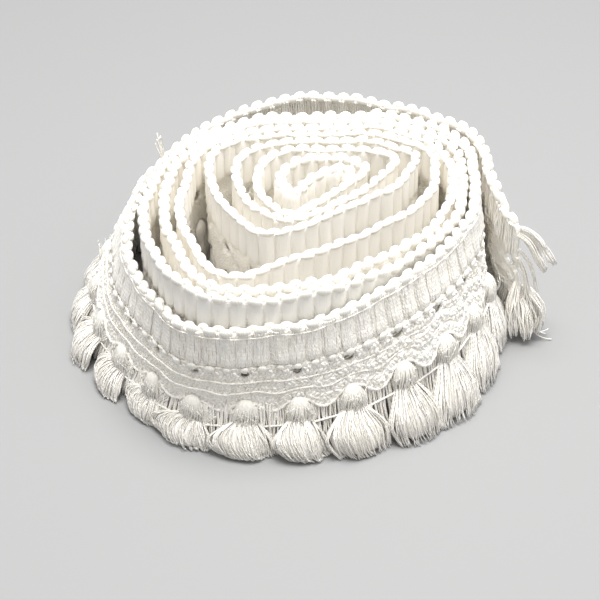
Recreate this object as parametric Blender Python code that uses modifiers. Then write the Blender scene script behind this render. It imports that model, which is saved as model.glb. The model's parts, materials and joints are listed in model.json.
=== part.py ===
# Tassel fringe trim, wound into a loose roll that stands on its tassels.
# Metres, +Z up, the floor at z = 0; the tables are in millimetres and scaled once, in place().
import math

import bmesh
import bpy
import numpy as np

MM = 0.001

# The strip.
PITCH = 20.0            # from one tassel to the next
SCALLOPS = 3            # scallops of the top edge in one pitch
SCALLOP_DEPTH = 1.5
HEADING = 35.0          # width of the woven heading
HOLE_TOP = 19.5         # first row of openings, below the top edge
HOLE_BOTTOM = 24.5
HOLE_WIDTH = 5.2
THICKNESS = 2.4
FLOOR = 100.0           # marks the wall's foot in the sheet's rows

# The tassels.
HEAD_LENGTH = 10.6      # heading's lower edge to the tied neck
HEAD_TUCK = 1.5         # head's top, below the heading's lower edge
HEAD_OUT = 2.8          # tassel's middle, outside the heading's middle
WALL_IN = 3.0           # wall behind the tassels, inside the heading's middle
WALL_STEP = 5.0         # height in which it draws in
HEAD_WIDTH = 9.4
HEAD_DEPTH = 5.4
NECK_WIDTH = 6.0
NECK_DEPTH = 4.2
NECK_BAND = 2.0
LOCKS = 8
LOCK_SPREAD = 7.4       # half the skirt's width on the floor, to the locks' middles
LOCK_DEPTH = 4.2        # half the skirt's depth on the floor
LOCK_SIZE = 2.1         # a lock's middle to its corners
LAST_TASSEL = 25

# Middle of the roll in the part's frame.
AXIS_X = 7.085
AXIS_Y = 6.455

# Radius of the top edge, one row a turn, the outermost first. Columns: each 30 degrees from the
# right, by way of the back, the left and the front.
RADIUS = (
    (74.0, 77.5, 72.0, 73.5, 74.5, 74.0, 79.5, 87.5, 95.5, 80.5, 69.5, 66.0),
    (65.5, 70.5, 64.0, 56.0, 59.5, 67.5, 71.5, 81.5, 90.5, 75.5, 64.5, 61.0),
    (60.5, 65.0, 58.0, 50.0, 54.5, 62.0, 65.0, 71.5, 85.5, 70.5, 59.0, 56.0),
    (56.0, 60.0, 52.0, 44.0, 49.5, 57.0, 58.0, 65.0, 76.0, 50.0, 41.5, 42.5),
    (48.5, 54.5, 46.0, 38.0, 44.5, 52.0, 46.5, 42.5, 44.5, 27.5, 21.5, 24.0),
    (33.0, 47.5, 39.5, 32.0, 36.0, 40.0, 35.5, 33.0, 32.0, 21.5, 16.5, 17.0),
    (22.5, 38.0, 31.5, 26.0, 28.5, 28.5, 27.0, 26.5, 26.0, 15.0, 11.0, 10.5),
    (12.0, 21.5, 23.0, 18.5, 18.5, 17.5),
)
# Height of the top edge, the same columns; the last row serves every further turn.
HEIGHT = (
    (66.0, 68.0, 68.0, 67.0, 64.0, 60.0, 56.0, 53.0, 53.0, 57.0, 64.0, 67.0),
    (67.0, 68.0, 67.0, 67.0, 67.0, 66.0, 66.0, 66.0, 66.0, 66.0, 66.5, 67.0),
    (67.0, 67.0, 67.5, 68.0, 68.0, 67.5, 67.0, 67.0, 67.0, 67.5, 68.0, 67.5),
)
# How far the heading's lower edge stands outside its top edge, the same columns.
LEAN = (
    (1.0, 2.0, 3.0, 3.0, 5.0, 10.0, 15.0, 9.0, 1.5, 6.0, 11.0, 8.0),
    (4.0, 1.5, 0.0, 0.0, 0.0, 0.0, 0.0, 0.0, 0.0, 0.0, 0.0, 0.0),
    (0.0, 0.0, 0.0, 0.0, 0.0, 0.0, 0.0, 0.0, 0.0, 0.0, 0.0, 0.0),
)
# How far the skirts' middle stands outside the neck on the floor, outermost turn only.
REACH = (4.0, 8.0, 8.0, 8.5, 9.0, 11.5, 13.5, 9.5, 8.5, 10.5, 12.0, 8.6)
# Points before the table (the loose end) and after it (the inner end's turned-back fold):
# x and y from the roll's middle, height, lean, reach.
LOOSE_END = (
    (88.0, -18.5, 54.0, 0.0, 2.6),
    (82.4, -14.0, 55.0, 0.0, 2.6),
    (78.0, -7.6, 58.5, 0.5, 2.8),
)
INNER_END = (
    (-16.6, -1.0, 67.5, 0.0, 0.0),
    (-13.4, -7.4, 67.5, 0.0, 0.0),
    (-8.6, -7.0, 67.5, 0.0, 0.0),
    (-7.0, -1.0, 67.5, 0.0, 0.0),
    (-3.2, 4.0, 67.5, 0.0, 0.0),
    (2.0, 7.8, 67.5, 0.0, 0.0),
    (7.0, 10.6, 67.5, 0.0, 0.0),
)
# Yarns of the frayed cut: reach and drop at the middle and at the tip, sideways at the tip.
FRAYED = (
    (6.0, 0.5, 12.0, 3.0, 1.5),
    (7.0, 1.5, 15.0, 6.5, -1.0),
    (6.0, 3.0, 13.0, 8.0, 1.5),
    (7.0, 3.5, 14.5, 10.0, -1.0),
    (5.0, 3.5, 9.0, 9.0, 1.5),
    (5.0, 15.0, 10.5, 34.5, -1.0),
)
FRAYED_TOP = 53.0       # height of the frayed strip's upper end
FRAYED_STEP = 2.8
FRAYED_THICK = 1.6


def path_points():
    """One row for each point that the strip's top edge runs through: x, y, height, lean, reach."""
    rows = list(LOOSE_END)
    for turn, radii in enumerate(RADIUS):
        row = min(turn, len(HEIGHT) - 1)
        for column, radius in enumerate(radii):
            angle = math.radians(30.0 * column)
            x = radius * math.cos(angle)
            y = radius * math.sin(angle)
            rows.append((x, y, HEIGHT[row][column], LEAN[row][column], REACH[column]))
    rows.extend(INNER_END)
    return np.array(rows)


def smooth_path(rows, steps=24):
    """The rows joined by a smooth curve, with the length along the top edge as a last column."""
    first = 2.0 * rows[0] - rows[1]
    last = 2.0 * rows[-1] - rows[-2]
    p = np.vstack([first, rows, last])
    pieces = []
    for i in range(1, len(p) - 2):
        t = np.arange(steps)[:, None] / steps
        a = 2.0 * p[i]
        b = p[i + 1] - p[i - 1]
        c = 2.0 * p[i - 1] - 5.0 * p[i] + 4.0 * p[i + 1] - p[i + 2]
        d = 3.0 * p[i] - p[i - 1] - 3.0 * p[i + 1] + p[i + 2]
        pieces.append(0.5 * (a + b * t + c * t**2 + d * t**3))
    curve = np.vstack(pieces + [rows[-1:]])
    run = np.linalg.norm(np.diff(curve[:, :2], axis=0), axis=1)
    return np.column_stack([curve, np.concatenate([[0.0], np.cumsum(run)])])


PATH = smooth_path(path_points())
LENGTH = float(PATH[-1, 5])
REPEATS = int(LENGTH // PITCH)


def at(along):
    """x, y, height, lean and reach at a length along the strip."""
    return [float(np.interp(along, PATH[:, 5], PATH[:, k])) for k in range(5)]


def outward(along):
    """The level direction away from the roll at a length along the strip."""
    x0, y0 = at(along - 1.5)[:2]
    x1, y1 = at(along + 1.5)[:2]
    size = math.hypot(x1 - x0, y1 - y0)
    return (y1 - y0) / size, (x0 - x1) / size


def place(x, y, z):
    """A point given from the roll's middle in millimetres, in the part's frame in metres."""
    return (x + AXIS_X) * MM, (y + AXIS_Y) * MM, z * MM


def lower_edge(along):
    """How far out the heading's lower edge stands, and how high."""
    height, lean = at(along)[2:4]
    return lean, height - math.sqrt(HEADING**2 - lean**2)


def tucked(along):
    """1 where the wall stands behind tassels, falling to 0 in the turns without them."""
    past = (along - PITCH * LAST_TASSEL) / (3.0 * PITCH)
    return min(1.0, max(0.0, 1.0 - past))


def wall_point(along, down):
    """A point of the wall's middle: down 0 is the top edge, HEADING the heading's lower edge, then
    the drawn-in part behind the tassels, and FLOOR the floor."""
    x, y, height = at(along)[:3]
    lean, low = lower_edge(along)
    share = min(down / HEADING, 1.0)
    out = lean * share
    z = height + (low - height) * share
    if down > HEADING:
        out = lean - WALL_IN * tucked(along)
        z = 0.0 if down == FLOOR else low - WALL_STEP
    nx, ny = outward(along)
    return place(x + out * nx, y + out * ny, z)


def new_object(name, mesh, colour, roughness, collection):
    made = bpy.data.objects.new(name, mesh)
    collection.objects.link(made)
    material = bpy.data.materials.new(name)
    material.use_nodes = True
    shader = material.node_tree.nodes["Principled BSDF"]
    shader.inputs["Base Color"].default_value = colour
    shader.inputs["Roughness"].default_value = roughness
    shader.inputs["Metallic"].default_value = 0.0
    mesh.materials.append(material)
    return made


def heading_sheet():
    """The strip as an open sheet: a flat grid of columns and rows, cut and thinned, then wound."""
    columns = 2 * SCALLOPS
    levels = (0.0, HOLE_TOP, HOLE_BOTTOM, HEADING, HEADING + WALL_STEP, FLOOR)
    rows = len(levels) - 1
    bm = bmesh.new()
    bmesh.ops.create_grid(bm, x_segments=columns * REPEATS, y_segments=rows, size=1.0)
    step = 2.0 / (columns * REPEATS)
    spot = {v: (round((v.co.x + 1.0) / step), round((1.0 - v.co.y) * rows / 2.0)) for v in bm.verts}

    holes = []
    for face in bm.faces:
        left = min(spot[v][0] for v in face.verts) % columns
        top = min(spot[v][1] for v in face.verts)
        if top == 1 and left in (2, 3):
            holes.append(face)
    bmesh.ops.delete(bm, geom=holes, context="FACES")

    # Below the scalloped edge every second column goes, and so do the bends' rows where the wall is
    # straight.
    upright = [e for e in bm.edges if spot[e.verts[0]][0] == spot[e.verts[1]][0]
               and spot[e.verts[0]][0] % 2 == 1 and len(e.link_faces) == 2]
    bmesh.ops.dissolve_edges(bm, edges=upright, use_verts=False)
    thin = [v for v in bm.verts if spot[v][1] > 0 and spot[v][0] % 2 == 1]
    bmesh.ops.dissolve_verts(bm, verts=thin)
    straight = columns * (LAST_TASSEL + 4)
    for row in (3, 4):
        level = [e for e in bm.edges if spot[e.verts[0]][1] == row and spot[e.verts[1]][1] == row
                 and min(spot[v][0] for v in e.verts) >= straight]
        bmesh.ops.dissolve_edges(bm, edges=level, use_verts=False)
        bend = [v for v in bm.verts if spot[v][1] == row and spot[v][0] > straight]
        bmesh.ops.dissolve_verts(bm, verts=bend)
    bmesh.ops.triangulate(bm, faces=bm.faces[:], quad_method="BEAUTY", ngon_method="BEAUTY")

    for v in bm.verts:
        column, row = spot[v]
        along = PITCH * column / columns
        if row > 0 and column % columns in (2, 4):
            side = -1.0 if column % columns == 2 else 1.0
            along = PITCH * (column // columns + 0.5) + side * HOLE_WIDTH / 2.0
        down = levels[row]
        if row == 0 and column % 2 == 0:
            down = SCALLOP_DEPTH
        v.co = wall_point(along, down)
    mesh = bpy.data.meshes.new("wound_heading")
    bm.to_mesh(mesh)
    bm.free()
    return mesh


def tassel_frame(number):
    """Where a tassel hangs: its length along the strip, the outward direction and the heights."""
    along = PITCH * (number + 0.5)
    lean, low = lower_edge(along)
    return along, lean + HEAD_OUT, low - HEAD_LENGTH


def tassel_point(number, side, out, z):
    """A point beside the tassel's middle, side along the strip and out away from the roll."""
    along, middle = tassel_frame(number)[:2]
    x, y = at(along)[:2]
    nx, ny = outward(along)
    out = out + middle
    return place(x + out * nx - side * ny, y + out * ny + side * nx, z)


def ring(corner, width, depth):
    angle = 2.0 * math.pi * (corner + 0.5) / LOCKS
    return 0.5 * width * math.cos(angle), 0.5 * depth * math.sin(angle)


def add_tassel(bm, number):
    """A tassel's head, widened above its neck, with its locks drawn down out of the neck's face.
    Returns the two faces of the neck band that look along the strip."""
    neck = tassel_frame(number)[2]
    reach = at(tassel_frame(number)[0])[4]
    fan = bmesh.ops.create_circle(bm, cap_ends=True, cap_tris=True, segments=LOCKS, radius=1.0)
    middle = max(fan["verts"], key=lambda v: len(v.link_edges))
    rim = [v for v in fan["verts"] if v is not middle]
    rim.sort(key=lambda v: math.atan2(v.co.y, v.co.x) % (2.0 * math.pi))
    middle.co = tassel_point(number, 0.0, 0.0, neck)
    floor_faces = list(middle.link_faces)

    levels = ((neck, NECK_WIDTH, NECK_DEPTH), (neck + NECK_BAND, NECK_WIDTH, NECK_DEPTH),
              (neck + 0.56 * HEAD_LENGTH, HEAD_WIDTH, HEAD_DEPTH),
              (neck + HEAD_LENGTH - HEAD_TUCK, 0.6 * HEAD_WIDTH, 0.5 * HEAD_DEPTH))
    below = None
    sides = []
    for z, width, depth in levels:
        if below is None:
            current = rim
        else:
            edges = [bm.edges.get((below[i], below[(i + 1) % LOCKS])) for i in range(LOCKS)]
            grown = bmesh.ops.extrude_edge_only(bm, edges=edges)["geom"]
            for face in grown:
                if isinstance(face, bmesh.types.BMFace):
                    face.smooth = True
            current = []
            for old in below:
                links = [e.other_vert(old) for e in old.link_edges]
                current.append(next(v for v in links if v in grown))
        for corner, v in enumerate(current):
            side, out = ring(corner, width, depth)
            v.co = tassel_point(number, side, out, z)
        if below is rim:
            for first in (LOCKS - 1, LOCKS // 2 - 1):
                pair = {below[first], below[(first + 1) % LOCKS]}
                edge = bm.edges.get(tuple(pair))
                sides.append(next(f for f in edge.link_faces if f not in floor_faces))
        below = current
    bmesh.ops.contextual_create(bm, geom=[bm.edges.get((below[i], below[(i + 1) % LOCKS]))
                                          for i in range(LOCKS)])

    # Each wedge of the neck's lower face grows one lock, spread over the floor in the same order.
    bmesh.ops.inset_individual(bm, faces=floor_faces, thickness=0.24 * MM)
    for face in floor_faces:
        index = round(wedge_angle(face, middle, number) * LOCKS / (2.0 * math.pi)) % LOCKS
        angle = 2.0 * math.pi * index / LOCKS
        wave = 1.0 if index % 2 else 0.8
        side = LOCK_SPREAD * wave * math.cos(angle)
        out = reach + LOCK_DEPTH * wave * math.sin(angle)
        for share, z, size in ((0.66, 0.5 * neck, 0.68), (1.0, 0.0, 1.0)):
            grown = bmesh.ops.extrude_discrete_faces(bm, faces=[face])["faces"]
            face = grown[0]
            corners = list(face.verts)
            centre = face.calc_center_median()
            for v in corners:
                turn = angle_of(v.co - centre, number)
                v.co = tassel_point(number, share * side + size * LOCK_SIZE * math.cos(turn),
                                    share * out + size * LOCK_SIZE * math.sin(turn), z)
    return sides


def angle_of(vector, number):
    """The turn of a level vector from the strip's direction at a tassel."""
    nx, ny = outward(tassel_frame(number)[0])
    return math.atan2(vector.x * nx + vector.y * ny, vector.y * nx - vector.x * ny)


def wedge_angle(face, middle, number):
    return angle_of(face.calc_center_median() - middle.co, number) % (2.0 * math.pi)


def fringe_mesh():
    bm = bmesh.new()
    before = None
    for number in range(LAST_TASSEL):
        sides = add_tassel(bm, number)
        if before is not None:
            loop = list(sides[1].edges) + list(before.edges)
            bmesh.ops.delete(bm, geom=[sides[1], before], context="FACES_ONLY")
            bmesh.ops.bridge_loops(bm, edges=loop)
        before = sides[0]
    bmesh.ops.triangulate(bm, faces=bm.faces[:], quad_method="BEAUTY", ngon_method="BEAUTY")
    bmesh.ops.recalc_face_normals(bm, faces=bm.faces[:])
    mesh = bpy.data.meshes.new("tassel_fringe")
    bm.to_mesh(mesh)
    bm.free()
    return mesh


def frayed_mesh():
    """The cut's loose yarns, drawn out of a narrow strip beside the raw edge."""
    x, y = at(0.0)[:2]
    nx, ny = outward(1.5)
    ax, ay = ny, -nx
    count = len(FRAYED)
    bm = bmesh.new()
    bmesh.ops.create_grid(bm, x_segments=1, y_segments=count, size=1.0)
    for v in bm.verts:
        z = FRAYED_TOP - FRAYED_STEP * round((1.0 - v.co.y) * count / 2.0)
        out = 0.5 * FRAYED_THICK * v.co.x
        v.co = place(x + 0.4 * ax + out * nx, y + 0.4 * ay + out * ny, z)
    front = bmesh.ops.extrude_face_region(bm, geom=bm.faces[:])
    moved = [v for v in front["geom"] if isinstance(v, bmesh.types.BMVert)]
    faces = [f for f in front["geom"] if isinstance(f, bmesh.types.BMFace)]
    bmesh.ops.translate(bm, verts=moved, vec=(1.6 * ax * MM, 1.6 * ay * MM, 0.0))
    faces.sort(key=lambda f: -f.calc_center_median().z)
    bmesh.ops.inset_individual(bm, faces=faces, thickness=0.3 * MM)
    for face, (middle, fall, tip, drop, side) in zip(faces, FRAYED):
        start = [v.co.copy() for v in face.verts]
        for reach, down, sway in ((middle, fall, 0.5 * side), (tip, drop, side)):
            face = bmesh.ops.extrude_discrete_faces(bm, faces=[face])["faces"][0]
            for v, origin in zip(face.verts, start):
                v.co = origin
                v.co.x += (reach * ax + sway * nx) * MM
                v.co.y += (reach * ay + sway * ny) * MM
                v.co.z -= down * MM
    bmesh.ops.triangulate(bm, faces=bm.faces[:], quad_method="BEAUTY", ngon_method="BEAUTY")
    bmesh.ops.recalc_face_normals(bm, faces=bm.faces[:])
    mesh = bpy.data.meshes.new("frayed_end")
    bm.to_mesh(mesh)
    bm.free()
    return mesh


for old in list(bpy.data.objects):
    bpy.data.objects.remove(old, do_unlink=True)
parts = bpy.data.collections.new("tassel_fringe_trim")
bpy.context.scene.collection.children.link(parts)

heading = new_object("wound_heading", heading_sheet(), (0.84, 0.81, 0.74, 1.0), 0.92, parts)
thick = heading.modifiers.new("thickness", "SOLIDIFY")
thick.thickness = THICKNESS * MM
thick.offset = 0.0
thick.use_even_offset = True
thick.use_quality_normals = True

fringe = new_object("tassel_fringe", fringe_mesh(), (0.88, 0.86, 0.80, 1.0), 0.88, parts)
frayed = new_object("frayed_end", frayed_mesh(), (0.80, 0.77, 0.70, 1.0), 0.9, parts)
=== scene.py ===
import json
import math

import bmesh
import bpy
import numpy as np
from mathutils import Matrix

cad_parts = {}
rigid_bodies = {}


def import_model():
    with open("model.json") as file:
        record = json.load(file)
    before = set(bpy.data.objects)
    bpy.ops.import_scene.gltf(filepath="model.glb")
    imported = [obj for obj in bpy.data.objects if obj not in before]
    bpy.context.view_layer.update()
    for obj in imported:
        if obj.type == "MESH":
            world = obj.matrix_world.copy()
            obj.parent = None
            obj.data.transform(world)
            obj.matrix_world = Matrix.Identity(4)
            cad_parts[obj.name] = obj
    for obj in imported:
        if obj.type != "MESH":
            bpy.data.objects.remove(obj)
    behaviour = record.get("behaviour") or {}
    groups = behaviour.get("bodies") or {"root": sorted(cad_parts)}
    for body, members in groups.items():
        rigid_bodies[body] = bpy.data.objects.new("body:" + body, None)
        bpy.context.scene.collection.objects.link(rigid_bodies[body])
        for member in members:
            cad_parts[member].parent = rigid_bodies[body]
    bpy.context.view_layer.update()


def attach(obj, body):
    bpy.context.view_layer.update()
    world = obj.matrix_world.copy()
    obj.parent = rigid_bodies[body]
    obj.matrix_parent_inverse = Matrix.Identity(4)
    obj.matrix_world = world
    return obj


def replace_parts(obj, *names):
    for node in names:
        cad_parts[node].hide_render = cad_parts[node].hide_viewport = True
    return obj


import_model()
mm = 0.001

# Lengths below are in millimetres. The strip has its own coordinates: along from the loose end,
# down from the scalloped top edge, and out, away from the roll.
trim = {
    "pitch": 20,            # tassel to tassel
    "scallops": 3,          # in one pitch
    "width": 35,            # top edge to the arches of the lower edge
    "ribbed": 18.6,         # down to where the ribbed upper half ends
    "lowest": 37.2,         # down to the middle line of the lower edge's lobes
    "outerPitches": 28,     # the outer turn and what lies under the loose end
    "tassels": 25,          # tassels of the outer turn
    "pitches": 124,         # of the whole strip
}
pitch = trim["pitch"]
scallop = pitch / trim["scallops"]
outerLobes = trim["outerPitches"] * trim["scallops"]
outerLength = trim["outerPitches"] * pitch

# The winding, as in the part's source: one row a turn, a column each 30 degrees from the right.
# Reach is how far the outer tassels spread. An end's row is x, y, height, lean and reach.
winding = {
    "middle": (7.085, 6.455),
    "radius": (
        (74, 77.5, 72, 73.5, 74.5, 74, 79.5, 87.5, 95.5, 80.5, 69.5, 66),
        (65.5, 70.5, 64, 56, 59.5, 67.5, 71.5, 81.5, 90.5, 75.5, 64.5, 61),
        (60.5, 65, 58, 50, 54.5, 62, 65, 71.5, 85.5, 70.5, 59, 56),
        (56, 60, 52, 44, 49.5, 57, 58, 65, 76, 50, 41.5, 42.5),
        (48.5, 54.5, 46, 38, 44.5, 52, 46.5, 42.5, 44.5, 27.5, 21.5, 24),
        (33, 47.5, 39.5, 32, 36, 40, 35.5, 33, 32, 21.5, 16.5, 17),
        (22.5, 38, 31.5, 26, 28.5, 28.5, 27, 26.5, 26, 15, 11, 10.5),
        (12, 21.5, 23, 18.5, 18.5, 17.5),
    ),
    "height": (
        (66, 68, 68, 67, 64, 60, 56, 53, 53, 57, 64, 67),
        (67, 68, 67, 67, 67, 66, 66, 66, 66, 66, 66.5, 67),
        (67, 67, 67.5, 68, 68, 67.5, 67, 67, 67, 67.5, 68, 67.5),
    ),
    "lean": (
        (1, 2, 3, 3, 5, 10, 15, 9, 1.5, 6, 11, 8),
        (4, 1.5, 0, 0, 0, 0, 0, 0, 0, 0, 0, 0),
        (0, 0, 0, 0, 0, 0, 0, 0, 0, 0, 0, 0),
    ),
    "reach": (4, 8, 8, 8.5, 9, 11.5, 13.5, 9.5, 8.5, 10.5, 12, 8.6),
    "looseEnd": ((88, -18.5, 54, 0, 2.6), (82.4, -14, 55, 0, 2.6),
                 (78, -7.6, 58.5, 0.5, 2.8)),
    "innerEnd": ((-16.6, -1), (-13.4, -7.4), (-8.6, -7), (-7, -1), (-3.2, 4), (2, 7.8),
                 (7, 10.6), (11.6, 11.6), (13, 7.6), (10, 2.8), (5.4, 1.6), (3.4, 2.6)),
    "innerHeight": 67.5,
    "steps": 24,
    "probe": 1.5,           # half the length that the outward direction is read over
}


def windingPath():
    rows = list(winding["looseEnd"])
    for turn, radii in enumerate(winding["radius"]):
        row = min(turn, 2)
        for column, radius in enumerate(radii):
            angle = math.radians(30 * column)
            rows.append((radius * math.cos(angle), radius * math.sin(angle),
                         winding["height"][row][column], winding["lean"][row][column],
                         winding["reach"][column]))
    rows.extend((x, y, winding["innerHeight"], 0, 0) for x, y in winding["innerEnd"])
    rows = np.array(rows)
    p = np.vstack([2 * rows[0] - rows[1], rows, 2 * rows[-1] - rows[-2]])
    t = np.arange(winding["steps"])[:, None] / winding["steps"]
    pieces = []
    for i in range(1, len(p) - 2):
        a = 2 * p[i]
        b = p[i + 1] - p[i - 1]
        c = 2 * p[i - 1] - 5 * p[i] + 4 * p[i + 1] - p[i + 2]
        d = 3 * p[i] - p[i - 1] - 3 * p[i + 1] + p[i + 2]
        pieces.append(0.5 * (a + b * t + c * t**2 + d * t**3))
    curve = np.vstack(pieces + [rows[-1:]])
    run = np.linalg.norm(np.diff(curve[:, :2], axis=0), axis=1)
    return np.column_stack([curve, np.concatenate([[0], np.cumsum(run)])])


path = windingPath()


def stripAt(along):
    return [np.interp(along, path[:, 5], path[:, k]) for k in range(5)]


def outwardAt(along):
    half = winding["probe"]
    along = np.clip(along, half, path[-1, 5] - half)
    x0, y0 = stripAt(along - half)[:2]
    x1, y1 = stripAt(along + half)[:2]
    size = np.hypot(x1 - x0, y1 - y0)
    return (y1 - y0) / size, (x0 - x1) / size


def unevenness(along):
    # slow waves of the whole strip, sideways and upward
    sideways = 0.34 * np.sin(along / 7.7 + 0.6) + 0.26 * np.sin(along / 3.9 + 2)
    upward = 0.45 * np.sin(along / 11.3 + 1) + 0.3 * np.sin(along / 4.6)
    return sideways, upward


def beside(x, y, nx, ny, side, out, z):
    # a point beside the strip's line, in metres
    east = x + out * nx - side * ny + winding["middle"][0]
    north = y + out * ny + side * nx + winding["middle"][1]
    return np.stack([east, north, np.broadcast_to(z, np.shape(east))], axis=-1) * mm


def onStrip(along, down, out):
    x, y, height, lean, _ = stripAt(along)
    nx, ny = outwardAt(along)
    sideways, upward = unevenness(along)
    slope = lean / trim["width"]
    rise = np.sqrt(1 - slope**2)
    level = slope * down + rise * out + sideways
    z = height + upward * np.clip(1 - down / 30, 0, 1) - rise * down + slope * out
    return beside(x, y, nx, ny, 0, level, z)


def near(along, place, wide):
    # 1 at a place, in pitches, and falling to 0 on both sides of it
    return np.exp(-((along / pitch - place) / wide) ** 2)


def fromMiddle(along):
    # how far a point lies beside the middle of its pitch, where the tassel hangs
    return ((along / pitch) % 1 - 0.5) * pitch


def lowerEdge(along):
    # lobes between the tassels, drawn nearly straight on the leaning front left
    turn = np.cos(2 * math.pi * (along / pitch - 0.5))
    arch = (2.9 - 1.7 * near(along, 17, 3.4)) * np.where(turn < 0, 1.6, 1)
    return trim["lowest"] - arch * np.sign(turn) * np.abs(turn) ** 0.8


def phases(random, *shape):
    return random.uniform(0, 6.28, shape)


def objectMode():
    bpy.ops.object.mode_set(mode="OBJECT")


def editMode(action=None):
    bpy.ops.object.mode_set(mode="EDIT")
    if action:
        bpy.ops.mesh.select_all(action=action)


def deselectAll():
    if bpy.context.object and bpy.context.object.mode != "OBJECT":
        objectMode()
    bpy.ops.object.select_all(action="DESELECT")


def pickOnly(piece):
    deselectAll()
    piece.select_set(True)
    bpy.context.view_layer.objects.active = piece


def applyModifiers(piece):
    pickOnly(piece)
    for modifier in list(piece.modifiers):
        bpy.ops.object.modifier_apply(modifier=modifier.name)


def readPoints(piece):
    flat = np.empty(len(piece.data.vertices) * 3)
    piece.data.vertices.foreach_get("co", flat)
    return flat.reshape(-1, 3)


def writePoints(piece, points):
    piece.data.vertices.foreach_set("co", np.asarray(points, dtype=float).ravel())
    piece.data.update()


def ringStack(name, corners, rows):
    # a circle drawn upward ring by ring; rows hold height, width and thickness
    deselectAll()
    bpy.ops.mesh.primitive_circle_add(vertices=corners, radius=0.5, fill_type="NGON",
                                      location=(0, 0, rows[0][0]))
    piece = bpy.context.object
    piece.name = name
    bpy.ops.object.transform_apply(location=True, rotation=True, scale=True)
    editMode("SELECT")
    bpy.ops.transform.resize(value=(rows[0][1], rows[0][2], 1),
                             center_override=(0, 0, rows[0][0]))
    for below, row in zip(rows, rows[1:]):
        bpy.ops.mesh.extrude_region_move(
            TRANSFORM_OT_translate={"value": (0, 0, row[0] - below[0])})
        bpy.ops.transform.resize(value=(row[1] / below[1], row[2] / below[2], 1),
                                 center_override=(0, 0, row[0]))
    bpy.ops.mesh.select_all(action="SELECT")
    bpy.ops.mesh.normals_make_consistent(inside=False)
    objectMode()
    return piece


def pressColumns(piece, corners, every, share):
    # draws each groove's column of points towards the middle
    pickOnly(piece)
    editMode()
    bpy.ops.mesh.select_mode(type="VERT")
    bpy.ops.mesh.select_all(action="DESELECT")
    bm = bmesh.from_edit_mesh(piece.data)
    for v in bm.verts:
        width = max(abs(q.co.x) for q in bm.verts if abs(q.co.z - v.co.z) < 1e-4)
        thick = max(abs(q.co.y) for q in bm.verts if abs(q.co.z - v.co.z) < 1e-4)
        turn = math.atan2(v.co.y / thick, v.co.x / width) * corners / (2 * math.pi)
        v.select = round(turn) % every == 0
    bmesh.update_edit_mesh(piece.data)
    bpy.ops.transform.resize(value=(1 - 0.3 * (1 - share), share, 1),
                             center_override=(0, 0, 0))
    objectMode()


def layUv(piece, corner, length):
    # around the ring in x, length in y; the last face of a ring runs on to 1
    layer = piece.data.uv_layers.new(name="yarn")
    for face in piece.data.polygons:
        values = [corner[v] for v in face.vertices]
        wraps = len(values) == 4 and max(values) - min(values) > 0.5
        for loop, v in zip(face.loop_indices, face.vertices):
            u = corner[v] + (1 if wraps and corner[v] < 0.5 else 0)
            layer.data[loop].uv = (u, length[v])


def repeat(piece, count, step):
    row = piece.modifiers.new("row", "ARRAY")
    row.count = count
    row.use_relative_offset = False
    row.use_constant_offset = True
    row.constant_offset_displace = (step, 0, 0)
    each = len(piece.data.vertices)
    applyModifiers(piece)
    return np.arange(count).repeat(each)


def rowOf(name, corners, rows, count, step=4, first=0, groove=None):
    # copies of one ring stack in a row: the piece, and each point's copy and place in its copy
    piece = ringStack(name, corners, rows)
    if groove:
        pressColumns(piece, corners, 3, groove)
    points = readPoints(piece)
    level = np.round(points[:, 2], 4)
    width, thick = np.ones(len(points)), np.ones(len(points))
    for z in np.unique(level):
        ring = level == z
        width[ring] = np.abs(points[ring, 0]).max() + 1e-9
        thick[ring] = np.abs(points[ring, 1]).max() + 1e-9
    turn = np.arctan2(points[:, 1] / thick, points[:, 0] / width) / (2 * math.pi)
    layUv(piece, np.round(turn * corners) % corners / corners, points[:, 2])
    copy = repeat(piece, count, step)
    points = readPoints(piece)
    points[:, 0] -= copy * step
    return piece, copy + first, points


def tubes(name, sides, steps, count, length):
    # copies of a plain tube: the piece, and each point's copy, ring and turn
    piece = ringStack(name, sides, [(float(k), 2, 2) for k in range(steps)])
    unit = readPoints(piece)
    ring = np.round(unit[:, 2]).astype(int)
    turn = np.arctan2(unit[:, 1], unit[:, 0])
    layUv(piece, np.round(turn / (2 * math.pi) * sides) % sides / sides, length[ring])
    return piece, repeat(piece, count, 4), np.tile(ring, count), np.tile(turn, count)


def tilted(x, z, tilt):
    # along and down the strip, from a small shape's own width and height
    return x * np.cos(tilt) + z * np.sin(tilt), x * np.sin(tilt) - z * np.cos(tilt)


def shadeEach(piece, values):
    shade = piece.data.attributes.new(name="shade", type="FLOAT", domain="POINT")
    shade.data.foreach_set("value", np.asarray(values, dtype=float))


def newGroup(name, inputs, outputs):
    group = bpy.data.node_groups.new(name, "ShaderNodeTree")
    for label, value in inputs.items():
        kind = "NodeSocketColor" if isinstance(value, tuple) else "NodeSocketFloat"
        socket = group.interface.new_socket(name=label, in_out="INPUT", socket_type=kind)
        socket.default_value = value
    for label in outputs:
        kind = "NodeSocketColor" if label == "Color" else "NodeSocketFloat"
        group.interface.new_socket(name=label, in_out="OUTPUT", socket_type=kind)
    return group, group.nodes.new("NodeGroupInput").outputs, group.nodes.new("NodeGroupOutput")


def fillInputs(tree, node, inputs):
    # an input takes a value, or the output that feeds it
    for label, value in inputs.items():
        if isinstance(value, bpy.types.NodeSocket):
            tree.links.new(value, node.inputs[label])
        else:
            node.inputs[label].default_value = value


def addNode(tree, kind, inputs, **settings):
    node = tree.nodes.new("ShaderNode" + kind)
    for key, value in settings.items():
        setattr(node, key, value)
    fillInputs(tree, node, inputs)
    return node.outputs


def addMath(tree, operation, *inputs, clamp=False):
    return addNode(tree, "Math", dict(enumerate(inputs)), operation=operation, use_clamp=clamp)[0]


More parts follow.
